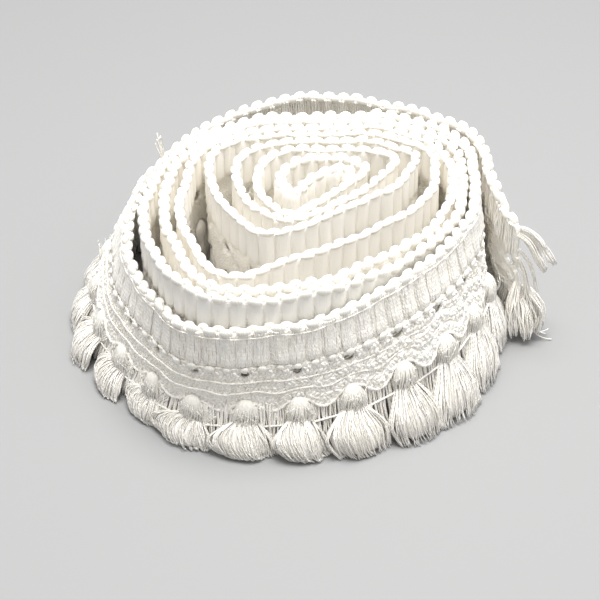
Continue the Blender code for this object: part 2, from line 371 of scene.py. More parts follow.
def cottonToneGroup():
    # colour that drifts a little over the cloth, and from yarn to yarn by Shade
    group, start, end = newGroup("cottonTone", {
        "Light": (0.94, 0.92, 0.88, 1), "Dark": (0.84, 0.80, 0.72, 1), "Shade": 0.5,
        "Scale": 60}, ("Color", "Roughness"))
    place = addNode(group, "TexCoord", {})
    noise = addNode(group, "TexNoise", {"Detail": 4, "Roughness": 0.6, "Vector": place["Object"],
                                        "Scale": start["Scale"]})
    spread = addNode(group, "MapRange", {"From Min": 0.3, "From Max": 0.7, "To Min": -0.35,
                                         "To Max": 0.35, "Value": noise["Fac"]})
    total = addMath(group, "ADD", spread["Result"], start["Shade"], clamp=True)
    tone = addNode(group, "Mix", {"Factor": total, "A": start["Dark"], "B": start["Light"]},
                   data_type="RGBA")
    rough = addNode(group, "MapRange", {"To Min": 0.95, "To Max": 0.8, "Value": total})
    fillInputs(group, end, {"Color": tone["Result"], "Roughness": rough["Result"]})
    return group


def filamentGroup():
    # fine filaments that run the yarn's length, with a slow twist
    group, start, end = newGroup("filaments", {"Around": 6, "Twist": 1}, ("Height",))
    place = addNode(group, "UVMap", {}, uv_map="yarn")
    split = addNode(group, "SeparateXYZ", {0: place["UV"]})
    around = addMath(group, "MULTIPLY", split["X"], start["Around"])
    twist = addMath(group, "MULTIPLY", split["Y"], start["Twist"])
    noise = addNode(group, "TexNoise", {"Scale": 0.9, "Detail": 2, "Vector": place["UV"]})
    drift = addMath(group, "ADD", addMath(group, "ADD", around, twist), noise["Fac"])
    wave = addMath(group, "SINE", addMath(group, "MULTIPLY", drift, 2 * math.pi))
    fillInputs(group, end, {"Height": wave})
    return group


def stitchGroup():
    # rows of small slanted stitches, in millimetres along and down the strip
    group, start, end = newGroup("stitches", {"Width": 1.25, "Row": 1.1}, ("Height",))
    place = addNode(group, "UVMap", {}, uv_map="cloth")
    split = addNode(group, "SeparateXYZ", {0: place["UV"]})
    across = addMath(group, "DIVIDE", split["X"], start["Width"])
    row = addMath(group, "DIVIDE", split["Y"], start["Row"])
    shifted = addMath(group, "ADD", across, addMath(group, "MULTIPLY", row, 0.5))
    joined = addNode(group, "CombineXYZ", {"X": shifted, "Y": row})
    cells = addNode(group, "TexVoronoi", {"Scale": 1, "Randomness": 0.55, "Vector": joined[0]},
                    voronoi_dimensions="2D")
    fall = addNode(group, "MapRange", {"From Max": 0.6, "To Min": 1, "To Max": 0,
                                       "Value": cells["Distance"]})
    fillInputs(group, end, {"Height": fall["Result"]})
    return group


groups = {"tone": cottonToneGroup(), "filaments": filamentGroup(), "stitches": stitchGroup()}


def clothMaterial(name, look):
    material = bpy.data.materials.new(name)
    material.use_nodes = True
    tree = material.node_tree
    shade = addNode(tree, "Attribute", {}, attribute_name="shade")
    tone = addNode(tree, "Group", {"Light": look["light"], "Dark": look["dark"],
                                   "Scale": look["patch"], "Shade": shade["Fac"]},
                   node_tree=groups["tone"])
    relief = addNode(tree, "Group", dict(enumerate(look["weave"])),
                     node_tree=groups[look["relief"]])
    bump = addNode(tree, "Bump", {"Strength": look["strength"], "Distance": look["height"] * mm,
                                  "Height": relief["Height"]})
    fillInputs(tree, tree.nodes["Principled BSDF"], {
        "Sheen Weight": look["sheen"], "Sheen Roughness": 0.5, "Specular IOR Level": 0.2,
        "Subsurface Weight": look["glow"], "Subsurface Radius": (1, 0.97, 0.92),
        "Subsurface Scale": look["soak"] * mm, "Base Color": tone["Color"],
        "Roughness": tone["Roughness"], "Normal": bump["Normal"]})
    return material


# Patch is the colour's noise scale, height and soak are in mm, and a weave is filaments around a
# yarn and their twist, or a stitch's width and row in mm.
cotton = {"light": (0.985, 0.965, 0.925, 1), "dark": (0.955, 0.92, 0.85, 1), "glow": 0,
          "soak": 1.5, "patch": 80, "sheen": 0.3, "relief": "filaments", "strength": 0.4}
cream = dict(cotton, light=(1, 0.98, 0.935, 1), dark=(0.99, 0.955, 0.885, 1), glow=0.15,
             soak=2, patch=70, sheen=0.25)
looks = {
    "gimpCotton": dict(cream, strength=0.7, height=0.25, weave=(34, 0.02)),
    "softGimpCotton": dict(cream, strength=0.35, height=0.16, weave=(26, 0.02)),
    # painted shade: the puffs (knobs, lobe ends, heads) get a darker cream than the same cotton
    # elsewhere, to hold back the strong top light on them
    "puffCottonPaintedShade": dict(cream, light=(0.87, 0.85, 0.8, 1), dark=(0.78, 0.755, 0.7, 1),
                       patch=150, sheen=0.3, height=0.12, weave=(12, 0.1)),
    "crochetCotton": dict(cream, patch=90, sheen=0.2, relief="stitches", strength=0.8,
                          height=0.4, weave=(1.3, 1.15)),
    "threadCotton": dict(cotton, patch=120, sheen=0.2, height=0.14, weave=(2, 0.55)),
    "skirtMassYarn": dict(cotton, light=(0.97, 0.95, 0.91, 1), dark=(0.9, 0.87, 0.82, 1),
                          strength=0.7, height=0.3, weave=(60, 0.02)),
    "skirtYarn": dict(cotton, light=(0.96, 0.94, 0.9, 1), dark=(0.86, 0.83, 0.77, 1),
                      height=0.1, weave=(2, 0.7)),
}
materials = {name: clothMaterial(name, look) for name, look in looks.items()}


def finishPiece(piece, material):
    piece.data.materials.clear()
    piece.data.materials.append(materials[material])
    piece.data.polygons.foreach_set("use_smooth", np.ones(len(piece.data.polygons), dtype=bool))
    piece.data.update()
    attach(piece, "root")
    print("made", piece.name, len(piece.data.polygons))


def layYarns(name, curves, half, sides, seed, material="threadCotton",
             across=(0, 0, 1)):
    # curves: yarn, step, xyz in metres; half: half thickness in mm, or half width and thickness,
    # which may vary by yarn and step; across: the way that the width lies
    count, steps = curves.shape[:2]
    apart = np.linalg.norm(np.diff(curves, axis=1), axis=2).mean(axis=0).cumsum() / mm
    length = np.concatenate([[0], apart])
    piece, copy, ring, turn = tubes(name, sides, steps, count, length)
    ahead = np.gradient(curves, axis=1)
    ahead /= np.linalg.norm(ahead, axis=2, keepdims=True) + 1e-12
    second = np.cross(ahead, np.broadcast_to(across, (count, 3))[:, None, :])
    second /= np.linalg.norm(second, axis=2, keepdims=True) + 1e-12
    first = np.cross(second, ahead)
    wide, thick = [np.broadcast_to(np.asarray(size) * mm, (count, steps))
                   for size in (half if isinstance(half, tuple) else (half, half))]
    points = (curves[copy, ring]
              + first[copy, ring] * (wide[copy, ring] * np.cos(turn))[:, None]
              + second[copy, ring] * (thick[copy, ring] * np.sin(turn))[:, None])
    writePoints(piece, points)
    shadeEach(piece, np.random.default_rng(seed).uniform(0.45, 1, count)[copy])
    finishPiece(piece, material)
    return piece


# The crocheted band: a flat grid, its holes cut, its rows pulled to the lower edge, then wound.
# Holes, rows and stitches are in mm, columns are for one pitch.
band = {
    "outerColumns": 24, "innerColumns": 12,
    "upperRows": (2.5, 6, 10, 14, 17.2),
    "outerLowRows": 22, "innerLowRows": 8,
    "holeWidth": 5, "holeHeight": 4.4, "holeAt": 21.9,
    "thickness": 1.3,
    "stitchRows": 11, "stitchWidth": 1.66, "stitchTop": 18.7,
    "stitch": ((-1.05, 0.5, 0.45), (-0.55, 1.15, 1), (0.45, 1.2, 1.05), (1.05, 0.5, 0.45)),
    "shells": 4, "shellHeight": 1.25,
    "start": 0.25,          # the frayed edge, in pitches
}


def fromHole(along, down, margin=0):
    # 1 on an opening's rim; the openings are drawn nearly shut on the leaning front left
    number = np.floor(along / pitch) - 17
    share = np.where(np.abs(number) < 9.5, 1.12 - 0.42 * (0.5 + 0.5 * np.cos(number * 0.33)), 1.1)
    return np.hypot(fromMiddle(along) / (0.5 * band["holeWidth"] * share + margin),
                    (down - band["holeAt"]) / (0.5 * band["holeHeight"] * share + margin))


def bandRelief(along, down):
    # a raised ring round each opening, and rows of shells below it, calmer at the front left
    ring = np.hypot(fromMiddle(along) / 3.5, (down - band["holeAt"]) / 3.3)
    raised = 0.3 * np.exp(-((ring - 1) / 0.22) ** 2)
    share = np.clip((down - trim["ribbed"]) / (lowerEdge(along) - trim["ribbed"]), 0, 1)
    shells = np.abs(np.sin(math.pi * (3 * share))) ** 0.6
    shift = 0.5 * (np.floor(3 * share) % 2)
    lobes = np.abs(np.cos(math.pi * (along / pitch * band["shells"] + shift))) ** 0.5
    calm = 1 - 0.6 * near(along, 16.5, 3.5)
    return raised + np.where(down > trim["ribbed"],
                             band["shellHeight"] * shells * lobes * calm, 0)


def bandPiece(name, first, last, columns, lowRows):
    wide = round((last - first) * columns)
    levels = len(band["upperRows"]) - 1 + lowRows
    deselectAll()
    bpy.ops.mesh.primitive_grid_add(x_subdivisions=wide, y_subdivisions=levels, size=2)
    piece = bpy.context.object
    piece.name = name
    points = readPoints(piece)
    column = np.round((points[:, 0] + 1) * 0.5 * wide)
    row = np.round((1 - points[:, 1]) * 0.5 * levels).astype(int)
    along = (first + column / columns) * pitch
    top = band["upperRows"]
    low = np.clip((row - len(top) + 1) / lowRows, 0, 1)
    down = np.where(row < len(top), np.array(top)[np.minimum(row, len(top) - 1)],
                    top[-1] + low * (lowerEdge(along) - top[-1]))

    # holes: faces inside each oval go, and the points round it move onto it
    faces = np.array([face.vertices[:] for face in piece.data.polygons])
    inside = fromHole(along[faces].mean(axis=1), down[faces].mean(axis=1)) < 1
    rim = np.zeros(len(points), dtype=bool)
    rim[faces[inside]] = True
    outside = np.zeros(len(points), dtype=bool)
    outside[faces[~inside]] = True
    rim &= outside
    stretch = np.where(rim, 1 / np.maximum(fromHole(along, down), 0.3), 1)
    along = along + fromMiddle(along) * (stretch - 1)
    down = np.where(rim, band["holeAt"] + (down - band["holeAt"]) * stretch, down)

    cloth = piece.data.uv_layers[0]
    cloth.name = "cloth"
    loops = np.empty(len(piece.data.loops), dtype=int)
    piece.data.loops.foreach_get("vertex_index", loops)
    cloth.data.foreach_set("uv", np.stack([along[loops], down[loops]], axis=-1).ravel())
    writePoints(piece, onStrip(along, down, bandRelief(along, down)))
    waves = phases(np.random.default_rng(11), 4)
    shadeEach(piece, 0.62 + 0.1 * np.sin(along / 9 + waves[0]) * np.sin(down / 5 + waves[1]))

    piece.data.polygons.foreach_set("select", inside)
    pickOnly(piece)
    bpy.context.tool_settings.mesh_select_mode = (False, False, True)
    editMode()
    bpy.ops.mesh.delete(type="FACE")
    objectMode()
    thick = piece.modifiers.new("thickness", "SOLIDIFY")
    thick.thickness = band["thickness"] * mm
    thick.offset = 0
    applyModifiers(piece)
    finishPiece(piece, "crochetCotton")
    return piece


outerBand = bandPiece("outer_band", band["start"], trim["outerPitches"], band["outerColumns"],
                      band["outerLowRows"])
innerBand = bandPiece("inner_band", trim["outerPitches"], trim["pitches"],
                      band["innerColumns"], band["innerLowRows"])


def bandStitches():
    # one puffed slanted stitch, copied over the outer band in rows that follow the lower edge
    each = int(outerLength / band["stitchWidth"])
    count = each * band["stitchRows"]
    random = np.random.default_rng(13)
    number = np.arange(count)
    row = number // each
    along = ((number % each) + 0.5 * (row % 2) + random.uniform(0.05, 0.45, count))
    along = along * band["stitchWidth"]
    share = (row + 0.5 + random.uniform(-0.16, 0.16, count)) / band["stitchRows"]
    down = band["stitchTop"] + share * (lowerEdge(along) - 0.3 - band["stitchTop"])
    keep = ((fromHole(along, down, 0.55) > 1) & (along < outerLength - 1)
            & (along > band["start"] * pitch + 0.6))
    along, down, row = along[keep], down[keep], row[keep]
    count = len(along)
    piece, copy, points = rowOf("outer_stitches", 5, band["stitch"], count)
    turn = (np.where(row % 2 == 0, 0.62, -0.62) + random.normal(0, 0.3, count))[copy]
    points *= random.uniform(0.85, 1.15, count)[copy][:, None]
    lift = (0.55 + bandRelief(along, down) + random.uniform(-0.15, 0.25, count))[copy]
    aside, below = tilted(points[:, 0], points[:, 2], turn)
    writePoints(piece, onStrip(along[copy] + aside, down[copy] + below, lift - points[:, 1]))
    shadeEach(piece, random.uniform(0.35, 1, count)[copy])
    finishPiece(piece, "threadCotton")


bandStitches()


# The gimp: a puffed lobe over each scallop. Rows are height, width and thickness.
gimp = {
    "rows": ((-18.3, 2.6, 1.6), (-18, 4.3, 2.8), (-17.1, 5.7, 3.9), (-15.6, 6.2, 4.2),
             (-14, 6.2, 3.9), (-11.5, 6.1, 3.3), (-8.5, 6.2, 3.2), (-6, 6.2, 3.3),
             (-4.7, 6, 3.1), (-4, 5.9, 3.1), (-3.1, 6.4, 3.9), (-2, 6.5, 4.3),
             (-1, 6.1, 4), (-0.3, 4.9, 3.1), (0, 3, 1.7)),
    "innerRows": ((-18.3, 3.6, 2.2), (-17, 5.8, 3.9), (-14.8, 6.2, 4.1), (-11, 6.2, 3.5),
                  (-6, 6.3, 3.5), (-4, 6.1, 3.3), (-2.2, 5.6, 2.6), (-1.4, 3.4, 1.6)),
    "coreRows": ((-18, 2.6, 1.6), (-17.2, 5.6, 3.8), (-14, 6.2, 3.9), (-8, 6.2, 3.2),
                 (-4.2, 5.9, 3), (-2.2, 5.6, 2.6), (-1.4, 3.4, 1.6)),
    "knobRows": ((-1.8, 2.4, 1.4), (-1.1, 5, 2.5), (0.1, 5.5, 2.8), (1.2, 4.3, 2.3),
                 (1.75, 1.9, 1.1)),
    "knobCorners": 10, "knobOut": 1.15, "knobDown": 1.9,
    # flatter knobs between these pitches, and how much of their width, thickness and height
    "softFrom": 66, "softTo": 118.5, "softSize": (1.16, 0.72, 0.62),
    "innerCorners": 18, "groove": 0.93,
    "frontYarns": 9, "backYarns": 6,
    "yarnDepths": (2.6, 3.8, 5.2, 6.8, 8.4, 10, 11.6, 13.2, 14.8, 16.4, 17.6, 18.2),
    "endDown": 18.8, "endOut": 2.15,
    "endRows": ((-2.1, 2.4, 1), (-1, 4.2, 1.9), (0.3, 4.4, 2), (1.3, 2.2, 1)),
}


def innerGimp():
    random = np.random.default_rng(4)
    count = trim["pitches"] * trim["scallops"] - outerLobes
    piece, copy, points = rowOf("inner_gimp", gimp["innerCorners"], gimp["innerRows"], count,
                                scallop, outerLobes, gimp["groove"])
    each = copy - outerLobes
    wide = random.uniform(1.05, 1.13, count)[each]
    fat = random.uniform(0.92, 1.1, count)
    fat[-9:] *= 1.7         # the curl at the centre, which the photo shows as a dense mass
    high = random.uniform(-0.4, 0.4, count)[each]
    push = random.uniform(-0.25, 0.3, count)[each]
    tilt = np.radians(random.uniform(-3.5, 3.5, count))[each]
    x, z = points[:, 0] * wide, points[:, 2]
    along = (copy + 0.5) * scallop + x * np.cos(tilt) + (z + 9) * np.sin(tilt)
    down = -z - x * np.sin(tilt) + high
    writePoints(piece, onStrip(along, down, -points[:, 1] * fat[each] + push))
    shadeEach(piece, random.uniform(0.7, 1, count)[each])
    finishPiece(piece, "softGimpCotton")


innerGimp()


def gimpKnobs():
    # two rows of small puffs along the top edge, half a scallop apart, one on each face
    count = trim["pitches"] * trim["scallops"] * 2 - 2
    piece, copy, points = rowOf("gimp_knobs", gimp["knobCorners"], gimp["knobRows"], count - 2,
                                scallop, 2)
    random = np.random.default_rng(5)
    row = copy % 2
    number = (copy // 2) / trim["scallops"]
    soft = (number > gimp["softFrom"]) & (number < gimp["softTo"])
    size = random.uniform(0.92, 1.08, (count, 3))[copy]
    points *= size * np.where(soft[:, None], gimp["softSize"], (1, 1, 1))
    place = random.uniform(-0.3, 0.3, (count, 2))[copy]
    aside, below = tilted(points[:, 0], points[:, 2], random.normal(0, 0.12, count)[copy])
    along = (copy // 2 + 0.5 + 0.5 * row) * scallop + aside + place[:, 0]
    down = gimp["knobDown"] + below + 0.25 * row + 0.7 * place[:, 1]
    out = np.where(row == 0, gimp["knobOut"], -gimp["knobOut"]) - points[:, 1]
    writePoints(piece, onStrip(along, down, out))
    shadeEach(piece, random.uniform(0.7, 1, count)[copy])
    finishPiece(piece, "puffCottonPaintedShade")


gimpKnobs()


def lobeHalf(rows, depth):
    # half width and half thickness of a lobe at a depth below the top edge
    table = np.array(rows)[::-1]
    return (0.5 * np.interp(depth, -table[:, 0], table[:, 1]),
            0.5 * np.interp(depth, -table[:, 0], table[:, 2]))


def outerGimp():
    # every lobe of the outer turn is a core under yarns that run from the cap to the lower end
    random = np.random.default_rng(3)
    core, copy, points = rowOf("gimp_cores", 14, [(z, w, 0.93 * t) for z, w, t in gimp["coreRows"]],
                               outerLobes - 1, scallop, 1)
    high = random.uniform(-0.35, 0.35, outerLobes)
    push = random.uniform(-0.2, 0.25, outerLobes)
    tilt = np.radians(random.uniform(-3.5, 3.5, outerLobes))
    middle = (np.arange(outerLobes) + 0.5) * scallop

    def placed(lobe, x, depth, out):
        turned = x * np.cos(tilt[lobe]) - (depth - 9) * np.sin(tilt[lobe])
        return onStrip(middle[lobe] + turned, depth - x * np.sin(tilt[lobe]) + high[lobe],
                       out + push[lobe])

    writePoints(core, placed(copy, points[:, 0], -points[:, 2], -points[:, 1]))
    shadeEach(core, np.full(len(points), 0.5))
    finishPiece(core, "gimpCotton")
    for label, face, yarns, sides, seed in (("front", 1, gimp["frontYarns"], 4, 71),
                                            ("back", -1, gimp["backYarns"], 3, 72)):
        lobe = np.arange(1, outerLobes).repeat(yarns)[:, None]
        place = (np.arange((outerLobes - 1) * yarns) % yarns)[:, None]
        spot = -1 + 2 * (place + 0.5) / yarns + random.normal(0, 0.04, lobe.shape)
        depth = np.array(gimp["yarnDepths"])[None, :]
        depth = depth + random.uniform(-0.35, 0.2, lobe.shape) * (depth / 18)
        wide, thick = lobeHalf(gimp["rows"], depth)
        wave = phases(random, *lobe.shape)
        x = spot * wide + 0.16 * np.sin(depth / 1.3 + wave)
        out = thick * np.sqrt(np.clip(1 - 0.84 * spot**2, 0, 1))
        out = out + random.uniform(-0.1, 0.12, lobe.shape) + 0.1 * np.sin(depth + 2 * wave)
        curves = placed(np.broadcast_to(lobe, x.shape), x, depth, face * (out - 0.1))
        nx, ny = outwardAt(middle[lobe[:, 0]])
        layYarns(f"gimp_yarns_{label}", curves, random.uniform(0.48, 0.62, lobe.shape), sides, seed,
                 across=np.stack([-ny, nx, 0 * nx], axis=-1))


outerGimp()


def lobeEnds():
    # the white loop that closes each lobe of the outer turn's gimp, just above the openwork
    piece, copy, points = rowOf("lobe_ends", 8, gimp["endRows"], outerLobes - 1, scallop, 1)
    random = np.random.default_rng(6)
    points *= random.uniform(0.62, 0.92, outerLobes)[copy][:, None]
    aside, below = tilted(points[:, 0], points[:, 2], random.normal(0, 0.12, outerLobes)[copy])
    writePoints(piece, onStrip((copy + 0.5) * scallop + aside, gimp["endDown"] + below,
                               gimp["endOut"] - points[:, 1]))
    shadeEach(piece, random.uniform(0.85, 1, outerLobes)[copy])
    finishPiece(piece, "puffCottonPaintedShade")


lobeEnds()


def openingThreads():
    # loops of the crochet that cross behind each opening of the outer turn
    random = np.random.default_rng(14)
    count = (trim["outerPitches"] - 1) * 4
    number = np.arange(count)
    middle = (number // 4 + 1.5) * pitch
    rise = (number % 4 - 1.5) * 1.15 + random.uniform(-0.25, 0.25, count)
    t = np.linspace(-1, 1, 6)[None, :]
    slant = random.uniform(-0.8, 0.8, count)
    along = middle[:, None] + 3.4 * t
    down = band["holeAt"] + rise[:, None] + slant[:, None] * t + 0.7 * (1 - t**2)
    out = -1.3 + 0.5 * t**2 + random.uniform(-0.4, 0.3, count)[:, None]
    layYarns("opening_threads", onStrip(along, down, out), 0.46, 4, 73)


openingThreads()


# Threads that run the strip's length, on the outer turn, drawn flatter at its front left.
threads = {
    "start": 5.5, "end": 558, "step": 0.9,
    # down, out, half thickness, wave, share of the lower edge's own arches, how far it is sunk
    "lines": ((4.35, 2, 0.22, 0.15, 0, 0), (18.9, 1.5, 0.34, 0.25, 0, 0.8),
              (25.4, 2, 0.36, 0.3, 0.1, 0.8), (30.4, 2.1, 0.34, 0.35, 0.3, 0.8),
              (37, 1.3, 0.66, 0, 1, 0)),
}


def threadLines():
    along = np.arange(threads["start"], threads["end"], threads["step"])
    for number, (down, out, half, wave, arch, sunk) in enumerate(threads["lines"]):
        depth = down + wave * np.sin(along / 3.1 + number) + arch * (lowerEdge(along) - trim["lowest"])
        sunk = sunk * (1 - near(along, 16, 3.5))
        lift = out + 0.15 * np.sin(along / 1.7 + number) - sunk
        bead = half * (1 + 0.3 * np.sin(2 * math.pi * along / 2.7))
        layYarns(f"strip_thread_{number + 1}", onStrip(along, depth, lift)[None], bead, 6,
                 20 + number)


threadLines()


# The tassels: sizes are half widths and half thicknesses in mm, counts are for one tassel.
tassel = {
    "headLength": 10.6, "headOut": 2.8,
    "headYarns": 30, "headHalfWidth": 5, "headHalfThick": 3, "headYarn": 0.45,
    # a head's core, under its yarns: out, height above the neck, half width, half thickness
    "headCore": ((-2.3, 12.2, 0.5, 0.3), (-2, 11.5, 2.1, 1.3), (-1, 10, 3.7, 2.1),
                 (0, 6.4, 4.6, 2.6), (0, 2.6, 4.3, 2.5), (0, -0.5, 3.7, 2.3)),
    "neckHalfWidth": 4.3, "neckHalfThick": 3,
    # the tie's two turns above the neck, and where the neck yarn runs: side, out, rise
    "tieYarn": 0.42, "tieRises": (0, 0.95), "neckYarn": 0.45,
    "neckSpots": ((-4.4, 1.6, 0.6), (-2.2, 3.1, 0.5), (2.2, 3.1, 0.4), (4.4, 1.6, 0.3)),
    "skirtYarns": 136, "skirtYarn": 0.26, "steps": 10, "skirtHalfDepth": 5,
    "bodyCorners": 30, "bodySteps": 10, "bodyRim": 0.83,
    "fuzzHairs": 36, "fuzzHair": 0.15, "fanYarns": 26, "fanYarn": 0.26,
    "backYarns": 34, "backYarn": 0.58,
    "innerYarns": 14, "innerYarn": 0.42, "innerSteps": 5,
    # the other turns' heads: height above the neck, half width, half thickness; the last row is
    # lifted to the floor
    "innerHead": ((10.2, 2, 1.2), (7.6, 4.3, 1.9), (4.4, 4.6, 2), (1.2, 2.6, 1.5),
                  (-6, 5, 1.8), (-60, 6.4, 1.9)),
    # where skirts spread less or more than the solids' locks: place in pitches, width, mm
    "spread": ((12.8, 1.3, -5.5), (16.6, 1.3, -4), (22, 2, 2)),
}
goldenTurn = 2.39996        # the turn from one yarn to the next where yarns fill a round


def tasselPlace(number):
    # where a tassel hangs, how far its skirt spreads, and the room that it has
    along = pitch * (number + 0.5)
    x, y, height, lean, reach = stripAt(along)
    nx, ny = outwardAt(along)
    for place, wide, more in tassel["spread"]:
        reach = reach + more * near(along, place, wide)
    neck = height - np.sqrt(trim["width"] ** 2 - lean**2) - tassel["headLength"]
    before = outwardAt(along - 0.5 * pitch)
    after = outwardAt(along + 0.5 * pitch)
    bend = math.asin(float(np.clip(before[0] * after[1] - before[1] * after[0], -1, 1)))
    out = lean + tassel["headOut"] + unevenness(along)[0]
    return {"x": x, "y": y, "nx": nx, "ny": ny, "neck": float(neck), "out": out,
            "reach": float(reach), "room": pitch + (out + reach) * bend,
            "lean": -2.6 + 1.7 * math.sin(along / 13)}


def tasselSpot(here, side, out, z):
    return beside(here["x"], here["y"], here["nx"], here["ny"], side, out + here["out"], z)


def placeLocal(here, curves):
    return tasselSpot(here, curves[..., 0], curves[..., 1], curves[..., 2])


def ease(t):
    t = np.clip(t, 0, 1)
    return t * t * (3 - 2 * t)


def skirtLine(here, t):
    # the middle of a skirt, out and height: a bell where the neck is high, a low puff where not
    neck, reach = here["neck"], here["reach"]
    squat = float(np.clip((20 - neck) / 11, 0, 1))
    bellOut = reach * (0.62 * t + 0.38 * t**2) + 0.1 * reach * np.sin(math.pi * t)
    bellZ = (neck + 0.8) * (1 - t) + 0.6
    turn = np.clip(t * 1.12, 0, 1) * 0.5 * math.pi
    puffOut = (reach + 0.6) * (0.8 * np.sin(turn) + 0.2 * t) + 2.4 * t**2
    puffZ = (neck - 0.6) * (0.75 * np.cos(turn) + 0.25 * (1 - t)) + 1.4 * (1 - t) + 0.6
    return (bellOut * (1 - squat) + puffOut * squat, bellZ * (1 - squat) + puffZ * squat,
            squat)


def skirtShape(here, random):
    # what makes each skirt its own: its width, and the waves that part it into locks
    return {"halfWidth": (0.5 * here["room"] + 0.9) * random.uniform(0.94, 1.06),
            "phase": phases(random, 4), "sway": random.normal(0, 0.8)}


def skirtPoints(here, shape, turn, rim, t, spread=1, depth=1):
    # local points: side, out, height, for a turn round the skirt, a share of its rim and of its
    # length
    out, z, squat = skirtLine(here, t)
    before, ahead = np.minimum(t, 0.98), 0.02
    out1, z1, _ = skirtLine(here, before)
    out2, z2, _ = skirtLine(here, before + ahead)
    size = np.hypot(out2 - out1, z2 - z1) + 1e-9
    towards, upward = (z1 - z2) / size, (out2 - out1) / size
    phase = shape["phase"]
    locks = (0.6 * np.abs(np.sin(2.5 * turn + phase[0]))
             + 0.4 * np.abs(np.sin(4 * turn + phase[1])))
    rim = rim * (1 - (0.13 + 0.07 * squat) * (1 - locks) * ease(t / 0.5))
    c, s = np.cos(turn) * rim, np.sin(turn) * rim
    s = np.where(s < 0, s * (1 - 0.55 * squat), s)
    halfWidth = shape["halfWidth"] * spread
    halfDepth = (tassel["skirtHalfDepth"] - 1 * squat) * depth
    neckWide, neckThick = tassel["neckHalfWidth"] * spread, tassel["neckHalfThick"] * depth
    widen, deepen = ease((t + 0.14) / (0.84 - 0.18 * squat)), ease(t / 0.7)
    drawnIn = 1 - (0.1 + 0.14 * squat) * ease((t - 0.6) / 0.45)
    side = c * (neckWide + (halfWidth - neckWide) * widen) * drawnIn
    bulge = 1 + 0.08 * (1 - squat) * np.sin(math.pi * np.clip(t * 1.15, 0, 1))
    off = s * (neckThick + (halfDepth - neckThick) * deepen) * bulge
    off = off * (1 - (0.3 + 0.15 * squat) * ease((t - 0.6) / 0.4))
    uneven = np.sin(2 * turn + phase[2]) * 0.55 + np.sin(5 * turn + phase[3]) * 0.45
    fan = 1 - (0.1 + 0.16 * squat) * (c / np.maximum(rim, 0.1)) ** 2 * ease(t / 0.8)
    bell = (here["lean"] + shape["sway"]) * ease(t)
    puff = -3 * np.sin(math.pi * np.clip(t, 0, 1) ** 0.9) + (2.2 + shape["sway"]) * t**2
    side = side + bell * (1 - squat) + puff * squat + 0.7 * uneven * t
    high = z + off * upward * (1 - 0.9 * ease((t - 0.5) / 0.5)) + 0.25 * (1 + uneven) * t**3
    return side, (out + off * towards) * fan, high


def skirtCurves(here, shape, count, random, steps, spread=1, depth=1):
    t = 1 - (1 - np.linspace(0, 1, steps)[None, :]) ** 1.25
    turn = goldenTurn * np.arange(count)[:, None] + random.uniform(-0.3, 0.3, (count, 1))
    wave = phases(random, count, 3)
    loose = random.gamma(2, 0.2, (count, 2))
    turn = turn + random.normal(0, 0.12, (count, 1)) * t + 0.05 * np.sin(7 * t + wave[:, 2:])
    rim = random.uniform(0.93, 1.03, (count, 1)) + 0 * t
    side, out, high = skirtPoints(here, shape, turn, rim, t, spread, depth)
    side = side + loose[:, :1] * np.sin(4.6 * t + wave[:, :1]) * t
    out = out + loose[:, 1:] * np.sin(3.9 * t + wave[:, 1:2]) * t
    high = high + random.uniform(-0.5, 0.6, (count, 1)) * t**4
    return np.stack([side, out, np.maximum(high, 0.35)], axis=-1)


def skirtBodies(places, shapes):
    # the mass of yarn inside each skirt, close under its outer strands
    steps, count = tassel["bodySteps"], len(places)
    piece, copy, points = rowOf("skirt_bodies", tassel["bodyCorners"],
                                [(float(k), 2, 2) for k in range(steps)], count)
    level = np.round(points[:, 2]).astype(int)
    one = points[copy == 0]
    turn = np.tile(np.arctan2(one[:, 1], one[:, 0]), count)
    share = np.concatenate([np.linspace(0, 0.84, steps - 1), [0.82]])[level]
    rim = np.where(level == steps - 1, 0.45, tassel["bodyRim"])
    for number, (here, shape) in enumerate(zip(places, shapes)):
        mine = copy == number
        side, out, high = skirtPoints(here, shape, turn[mine], rim[mine], share[mine])
        low = np.where(level[mine] == steps - 1, 0.8, np.maximum(high, 1.6))
        points[mine] = tasselSpot(here, side, out, low)
    writePoints(piece, points)
    shadeEach(piece, np.random.default_rng(17).uniform(0.4, 0.8, count)[copy])
    finishPiece(piece, "skirtMassYarn")


def headCurves(here, count, random):
    share = np.linspace(0, 1, 8)[None, :]
    turns = np.arange(count)[:, None] + random.uniform(0.2, 0.8, (count, 1))
    turns = 2 * math.pi * turns / count + 0.35 * (share - 0.5)
    swell = np.sin(math.pi * np.clip(0.03 + 0.77 * share, 0, 1)) ** 0.75
    last = math.sin(math.pi * 0.8) ** 0.75

    def halfSize(head, neck):
        return swell * head * (1 + ((neck + 0.1) / (head * last) - 1) * share**3)

    jitter = random.normal(0, 0.13, (count, 1)) * np.sin(math.pi * share)
    side = halfSize(tassel["headHalfWidth"], tassel["neckHalfWidth"]) * np.cos(turns) + jitter
    out = halfSize(tassel["headHalfThick"], tassel["neckHalfThick"]) * np.sin(turns) + jitter
    out = out - 2.4 * (1 - ease(share / 0.4))
    return np.stack([side, out, here["neck"] + 12.4 - 12.7 * share + 0 * turns], axis=-1)


